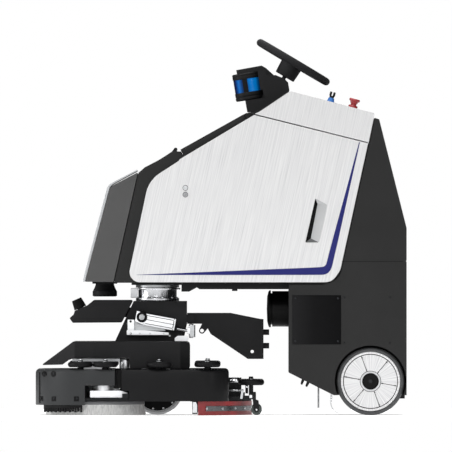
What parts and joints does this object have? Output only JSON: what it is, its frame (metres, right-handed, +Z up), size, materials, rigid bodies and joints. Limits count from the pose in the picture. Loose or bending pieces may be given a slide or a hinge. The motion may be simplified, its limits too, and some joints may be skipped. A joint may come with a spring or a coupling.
{
  "type": "commercial robotic floor cleaner",
  "caption": "Upright commercial floor scrubber with a slab-sided body on a steered scrub module with disc brushes, guide rollers and a red crescent squeegee.",
  "frame": {"origin": "centre of the bounding box's footprint, on the floor under the middle of the machine", "axes": "+Z up; -X is the front, towards the scrub deck; +X is the operator's end with the rear wheels; -Y is the machine's left side"},
  "size_m": [1.368, 0.83, 1.3898],
  "materials": {
    "frame_black": "satin black powder coat",
    "shell_black": "fine-grained charcoal moulding",
    "hood_grey": "fine-grained mid grey moulding",
    "silver_plate": "smooth pearl silver",
    "white_panel": "pale brushed sheet with a fine slanting grain",
    "head_black": "satin black moulding",
    "scanner_black": "smooth satin black",
    "scanner_blue": "glossy blue tinted scanner window",
    "camera_black": "glossy black lens cover",
    "screen_glass": "glossy black glass over a display, switched off",
    "switch_collar": "blue and yellow collars",
    "canister_black": "smooth black moulding",
    "battery_case": "blue-grey battery case",
    "tank_white": "translucent white rotomoulded tank",
    "access_black": "satin black sheet",
    "screw_steel": "zinc plated",
    "bearing_steel": "machined steel",
    "wheel_grip": "soft-touch black grip",
    "button_red": "glossy red",
    "knob_black": "satin black",
    "tyre_grey": "dark grey rubber",
    "rim_silver": "pearl white and silver wheel cover",
    "neck_chrome": "bright turned steel",
    "arm_black": "satin black powder coat on folded sheet",
    "cap_black": "ribbed black cap",
    "actuator_silver": "cast and brushed aluminium",
    "rod_chrome": "polished rod",
    "drive_tread": "light grey polyurethane tread",
    "drive_hub": "black painted wheel motor",
    "cover_grey": "dark grey moulding",
    "shroud_grey": "dark grey moulding with a satin sheen",
    "fairing_black": "satin black moulding",
    "deck_steel": "dark painted steel plate with bright posts",
    "motor_silver": "cast aluminium motor housing",
    "bristle_grey": "light grey bristles on a grey block",
    "roller_black": "black rubber tread",
    "squeegee_steel": "black coated steel frame and suction elbow",
    "blade_red": "red polyurethane blade",
    "strap_steel": "stainless steel strap",
    "caster_grey": "dark grey rubber"
  },
  "bodies": {
    "base": {"chassis_frame": "frame_black", "body_shell": "shell_black", "front_hood": "hood_grey", "front_plate": "silver_plate", "rear_housing": "shell_black", "top_hood": "white_panel", "sensor_head": "head_black", "lidar_housing": "scanner_black", "lidar_window": "scanner_blue", "front_lidar": "scanner_black", "depth_cameras": "camera_black", "touch_screen": "screen_glass", "switch_bases": "switch_collar", "vacuum_housing": "canister_black", "battery_pack": "battery_case", "water_tank": "tank_white", "service_panels": "access_black", "panel_screws": "screw_steel", "slew_ring": "bearing_steel"},
    "steering_wheel": {"steering_wheel": "wheel_grip"},
    "estop_button": {"estop_button": "button_red"},
    "key_knob": {"key_knob": "knob_black"},
    "left_door": {"left_side_door": "white_panel"},
    "right_door": {"right_side_door": "white_panel"},
    "tank_lid": {"tank_lid": "shell_black"},
    "left_rear_wheel": {"left_rear_tyre": "tyre_grey", "left_rear_rim": "rim_silver"},
    "right_rear_wheel": {"right_rear_tyre": "tyre_grey", "right_rear_rim": "rim_silver"},
    "steer_module": {"slew_neck": "neck_chrome", "yoke": "arm_black", "front_pod": "head_black", "rear_arm": "arm_black", "actuator_body": "actuator_silver"},
    "pod_cap": {"pod_cap": "cap_black"},
    "actuator_rod": {"actuator_rod": "rod_chrome"},
    "drive_wheel": {"drive_tyre": "drive_tread", "drive_rim": "drive_hub"},
    "deck": {"deck_cover": "cover_grey", "front_shroud": "shroud_grey", "side_fairings": "fairing_black", "deck_frame": "deck_steel", "brush_motors": "motor_silver"},
    "left_brush": {"left_brush": "bristle_grey"},
    "right_brush": {"right_brush": "bristle_grey"},
    "squeegee": {"squeegee_frame": "squeegee_steel", "squeegee_blades": "blade_red", "squeegee_strap": "strap_steel"},
    "left_roller_1": {"left_roller_1": "roller_black"},
    "left_roller_2": {"left_roller_2": "roller_black"},
    "left_roller_3": {"left_roller_3": "roller_black"},
    "left_roller_4": {"left_roller_4": "roller_black"},
    "left_squeegee_roller": {"left_squeegee_roller": "roller_black"},
    "left_squeegee_caster": {"left_squeegee_caster": "caster_grey"},
    "right_roller_1": {"right_roller_1": "roller_black"},
    "right_roller_2": {"right_roller_2": "roller_black"},
    "right_roller_3": {"right_roller_3": "roller_black"},
    "right_roller_4": {"right_roller_4": "roller_black"},
    "right_squeegee_roller": {"right_squeegee_roller": "roller_black"},
    "right_squeegee_caster": {"right_squeegee_caster": "caster_grey"}
  },
  "joints": [
    {"name": "steer_turn", "type": "hinge", "parent": "base", "child": "steer_module", "pos_m": [-0.235, 0, 0.475], "axis": [0, 0, 1], "range_deg": [-60, 60]},
    {"name": "steering_wheel_turn", "type": "hinge", "parent": "base", "child": "steering_wheel", "pos_m": [0.267, 0, 1.3035], "axis": [0.5105, 0, 0.8599], "range_deg": [-120, 120]},
    {"name": "estop_press", "type": "slide", "parent": "base", "child": "estop_button", "axis": [-0.2549, 0, -0.967], "range_m": [0, 0.005], "stiffness_N_per_m": 900},
    {"name": "key_turn", "type": "hinge", "parent": "base", "child": "key_knob", "pos_m": [0.40391, -0.2, 1.15574], "axis": [0.2549, 0, 0.967], "range_deg": [0, 90]},
    {"name": "left_door_swing", "type": "hinge", "parent": "base", "child": "left_door", "pos_m": [-0.335, -0.3, 0.547], "axis": [-0.2166, 0, -0.9763], "range_deg": [0, 100]},
    {"name": "right_door_swing", "type": "hinge", "parent": "base", "child": "right_door", "pos_m": [-0.335, 0.3, 0.547], "axis": [0.2166, 0, 0.9763], "range_deg": [0, 100]},
    {"name": "tank_lid_lift", "type": "hinge", "parent": "base", "child": "tank_lid", "pos_m": [0.081, 0, 1.108], "axis": [0, 1, 0], "range_deg": [0, 70]},
    {"name": "left_rear_wheel_spin", "type": "hinge", "parent": "base", "child": "left_rear_wheel", "pos_m": [0.551, -0.268, 0.125], "axis": [0, 1, 0], "continuous": true},
    {"name": "right_rear_wheel_spin", "type": "hinge", "parent": "base", "child": "right_rear_wheel", "pos_m": [0.551, 0.268, 0.125], "axis": [0, 1, 0], "continuous": true},
    {"name": "pod_cap_turn", "type": "hinge", "parent": "steer_module", "child": "pod_cap", "pos_m": [-0.5202, 0, 0.3935], "axis": [-0.4067, 0, 0.9135], "range_deg": [0, 90]},
    {"name": "actuator_extend", "type": "slide", "parent": "steer_module", "child": "actuator_rod", "axis": [0.9836, 0, -0.1805], "range_m": [0, 0.031]},
    {"name": "drive_wheel_spin", "type": "hinge", "parent": "steer_module", "child": "drive_wheel", "pos_m": [-0.235, 0, 0.095], "axis": [0, 1, 0], "continuous": true},
    {"name": "deck_lift", "type": "slide", "parent": "steer_module", "child": "deck", "axis": [0, 0, 1], "range_m": [0, 0.045]},
    {"name": "squeegee_lift", "type": "hinge", "parent": "steer_module", "child": "squeegee", "pos_m": [-0.235, 0, 0.095], "axis": [0, -1, 0], "range_deg": [0, 8]},
    {"name": "left_brush_spin", "type": "hinge", "parent": "deck", "child": "left_brush", "pos_m": [-0.463, -0.19, 0.027], "axis": [0, 0, 1], "continuous": true},
    {"name": "right_brush_spin", "type": "hinge", "parent": "deck", "child": "right_brush", "pos_m": [-0.463, 0.19, 0.027], "axis": [0, 0, 1], "continuous": true},
    {"name": "left_roller_1_spin", "type": "hinge", "parent": "deck", "child": "left_roller_1", "pos_m": [-0.518, -0.352, 0.1875], "axis": [0, 0, 1], "continuous": true},
    {"name": "left_roller_2_spin", "type": "hinge", "parent": "deck", "child": "left_roller_2", "pos_m": [-0.426, -0.3687, 0.1875], "axis": [0, 0, 1], "continuous": true},
    {"name": "left_roller_3_spin", "type": "hinge", "parent": "deck", "child": "left_roller_3", "pos_m": [-0.228, -0.3665, 0.1875], "axis": [0, 0, 1], "continuous": true},
    {"name": "left_roller_4_spin", "type": "hinge", "parent": "deck", "child": "left_roller_4", "pos_m": [-0.05, -0.3665, 0.1875], "axis": [0, 0, 1], "continuous": true},
    {"name": "left_squeegee_roller_spin", "type": "hinge", "parent": "squeegee", "child": "left_squeegee_roller", "pos_m": [0.111, -0.235, 0.1205], "axis": [0, 0, 1], "continuous": true},
    {"name": "left_squeegee_caster_spin", "type": "hinge", "parent": "squeegee", "child": "left_squeegee_caster", "pos_m": [0.131, -0.235, 0.02], "axis": [0, 1, 0], "continuous": true},
    {"name": "right_roller_1_spin", "type": "hinge", "parent": "deck", "child": "right_roller_1", "pos_m": [-0.518, 0.352, 0.1875], "axis": [0, 0, 1], "continuous": true},
    {"name": "right_roller_2_spin", "type": "hinge", "parent": "deck", "child": "right_roller_2", "pos_m": [-0.426, 0.3687, 0.1875], "axis": [0, 0, 1], "continuous": true},
    {"name": "right_roller_3_spin", "type": "hinge", "parent": "deck", "child": "right_roller_3", "pos_m": [-0.228, 0.3665, 0.1875], "axis": [0, 0, 1], "continuous": true},
    {"name": "right_roller_4_spin", "type": "hinge", "parent": "deck", "child": "right_roller_4", "pos_m": [-0.05, 0.3665, 0.1875], "axis": [0, 0, 1], "continuous": true},
    {"name": "right_squeegee_roller_spin", "type": "hinge", "parent": "squeegee", "child": "right_squeegee_roller", "pos_m": [0.111, 0.235, 0.1205], "axis": [0, 0, 1], "continuous": true},
    {"name": "right_squeegee_caster_spin", "type": "hinge", "parent": "squeegee", "child": "right_squeegee_caster", "pos_m": [0.131, 0.235, 0.02], "axis": [0, 1, 0], "continuous": true}
  ],
  "couplings": [
    {"joint": "steering_wheel_turn", "follows": "steer_turn", "ratio": 2},
    {"joint": "actuator_extend", "follows": "deck_lift", "ratio": 0.66667}
  ]
}
